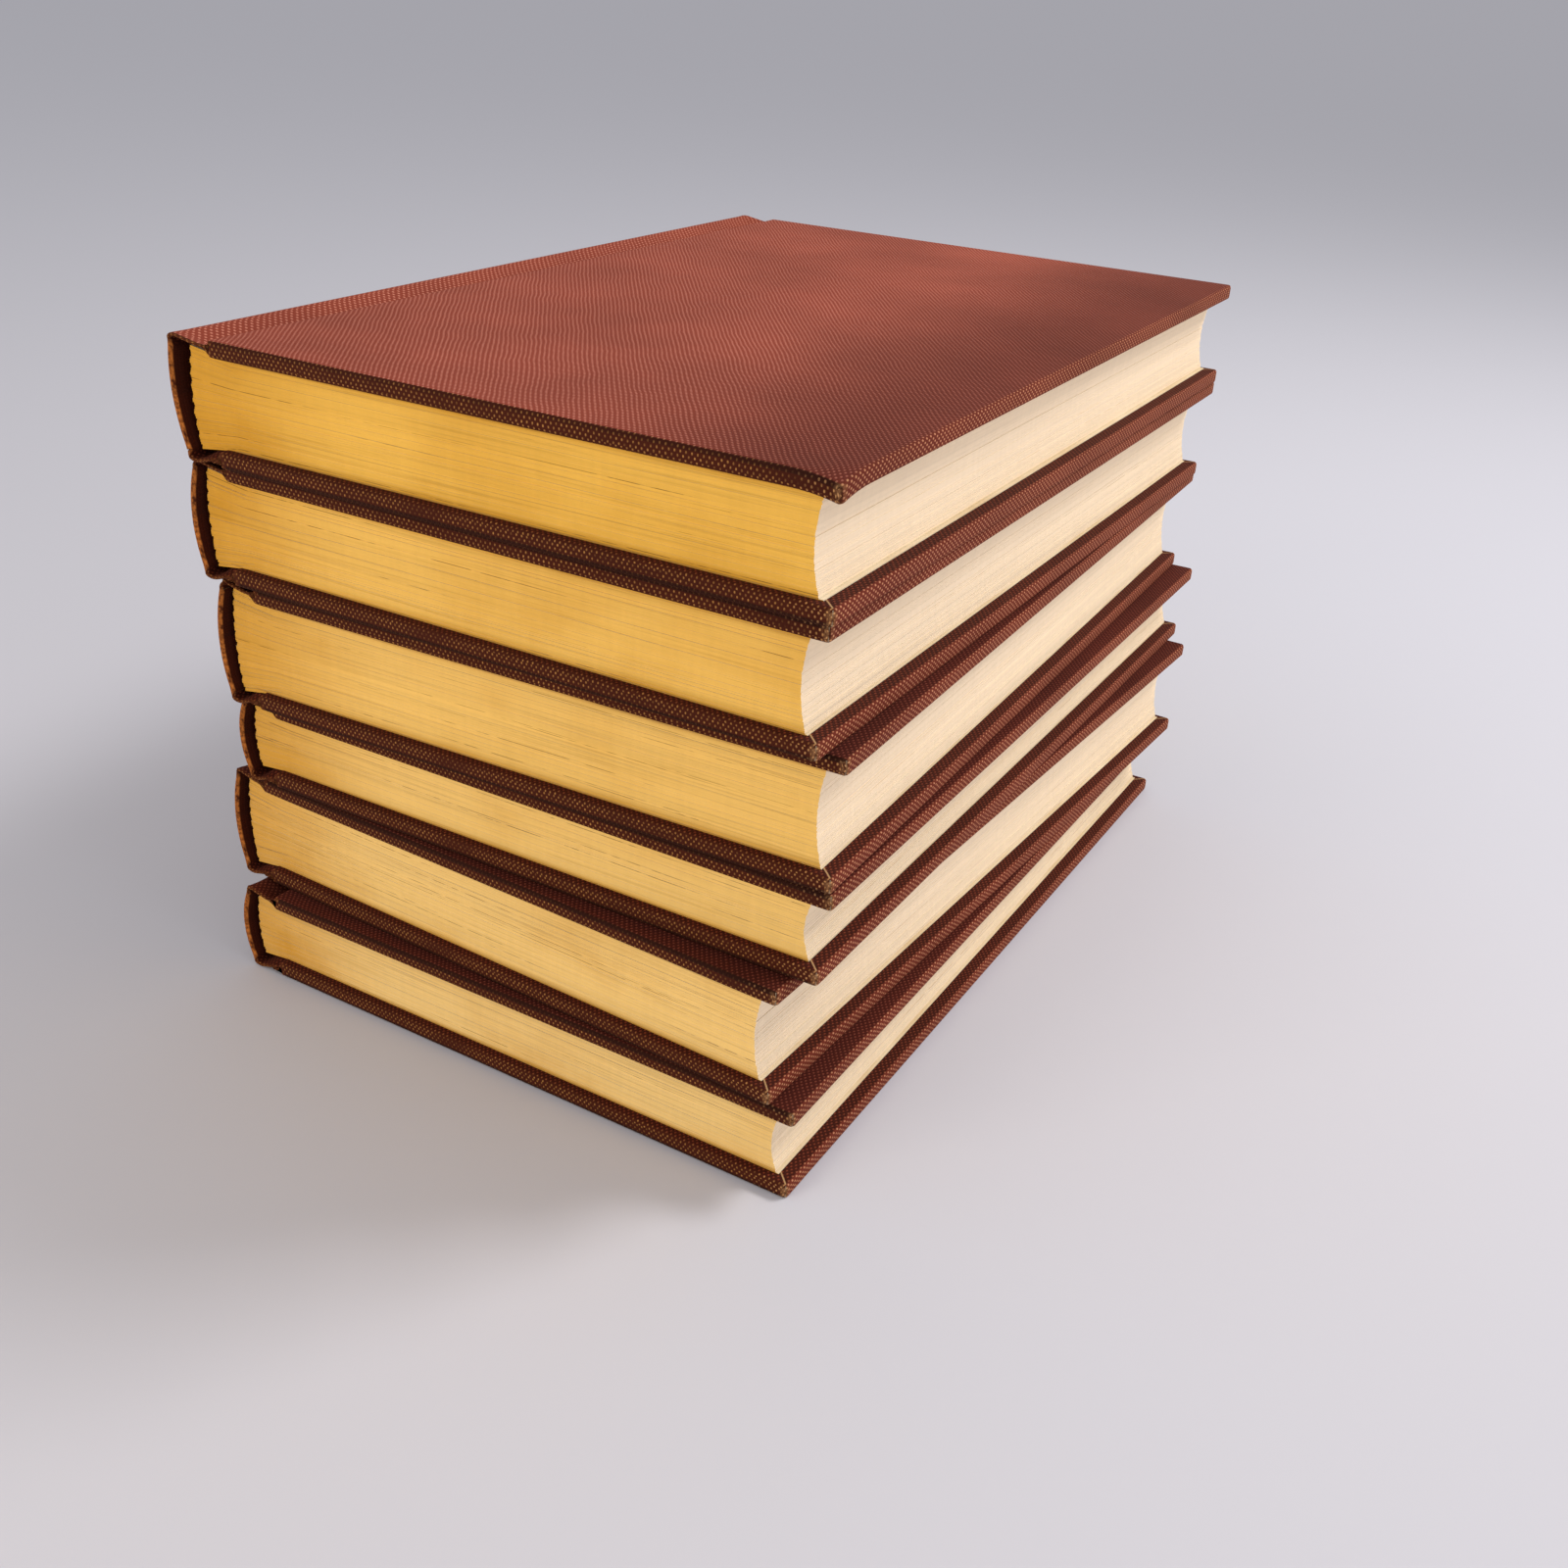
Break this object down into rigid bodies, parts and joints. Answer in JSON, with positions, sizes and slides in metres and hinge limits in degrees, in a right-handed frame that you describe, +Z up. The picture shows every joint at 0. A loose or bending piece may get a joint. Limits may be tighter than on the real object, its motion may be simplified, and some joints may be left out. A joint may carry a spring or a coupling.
{
  "type": "stack of books",
  "caption": "Stack of cloth-bound hardback books lying flat, slightly askew, with rounded spines, grooved joints and worn covers; the top one opens.",
  "frame": {"origin": "middle of the stack's footprint, on the surface that it lies on", "axes": "+X from the spines to the fore-edges, +Y from the heads to the tails, +Z up"},
  "size_m": [0.1713, 0.2438, 0.1615],
  "materials": {
    "book_cloth": "matte, worn at the edges",
    "greyboard": "matte",
    "spine_card": "matte",
    "lining_cloth": "matte, open weave",
    "leaves": "matte, toned",
    "endpaper": "matte, toned"
  },
  "bodies": {
    "stack": {"book_1_lower_board": "greyboard", "book_1_lower_cover_cloth": "book_cloth", "book_1_lower_pasted_leaf": "endpaper", "book_2_cover_cloth": "book_cloth", "book_2_lower_board": "greyboard", "book_2_lower_endpaper": "endpaper", "book_2_spine_lining": "lining_cloth", "book_2_spine_strip": "spine_card", "book_2_text_block": "leaves", "book_2_upper_board": "greyboard", "book_2_upper_endpaper": "endpaper", "book_3_cover_cloth": "book_cloth", "book_3_lower_board": "greyboard", "book_3_lower_endpaper": "endpaper", "book_3_spine_lining": "lining_cloth", "book_3_spine_strip": "spine_card", "book_3_text_block": "leaves", "book_3_upper_board": "greyboard", "book_3_upper_endpaper": "endpaper", "book_4_cover_cloth": "book_cloth", "book_4_lower_board": "greyboard", "book_4_lower_endpaper": "endpaper", "book_4_spine_lining": "lining_cloth", "book_4_spine_strip": "spine_card", "book_4_text_block": "leaves", "book_4_upper_board": "greyboard", "book_4_upper_endpaper": "endpaper", "book_5_cover_cloth": "book_cloth", "book_5_lower_board": "greyboard", "book_5_lower_endpaper": "endpaper", "book_5_spine_lining": "lining_cloth", "book_5_spine_strip": "spine_card", "book_5_text_block": "leaves", "book_5_upper_board": "greyboard", "book_5_upper_endpaper": "endpaper", "book_6_cover_cloth": "book_cloth", "book_6_lower_board": "greyboard", "book_6_lower_endpaper": "endpaper", "book_6_spine_lining": "lining_cloth", "book_6_spine_strip": "spine_card", "book_6_text_block": "leaves", "book_6_upper_board": "greyboard", "book_6_upper_endpaper": "endpaper"},
    "top_block": {"book_1_text_block": "leaves", "book_1_spine_lining": "lining_cloth", "book_1_spine_strip": "spine_card", "book_1_spine_cloth": "book_cloth", "book_1_lower_free_leaf": "endpaper", "book_1_upper_free_leaf": "endpaper"},
    "top_cover": {"book_1_upper_board": "greyboard", "book_1_upper_cover_cloth": "book_cloth", "book_1_upper_pasted_leaf": "endpaper"}
  },
  "joints": [
    {"name": "top_block_lift", "type": "hinge", "parent": "stack", "child": "top_block", "pos_m": [-0.07502, -0.00436, 0.1378], "axis": [0.0105, -0.9999, 0], "range_deg": [0, 60]},
    {"name": "top_cover_hinge", "type": "hinge", "parent": "top_block", "child": "top_cover", "pos_m": [-0.07502, -0.00436, 0.1577], "axis": [0.0105, -0.9999, 0], "range_deg": [0, 180]}
  ]
}
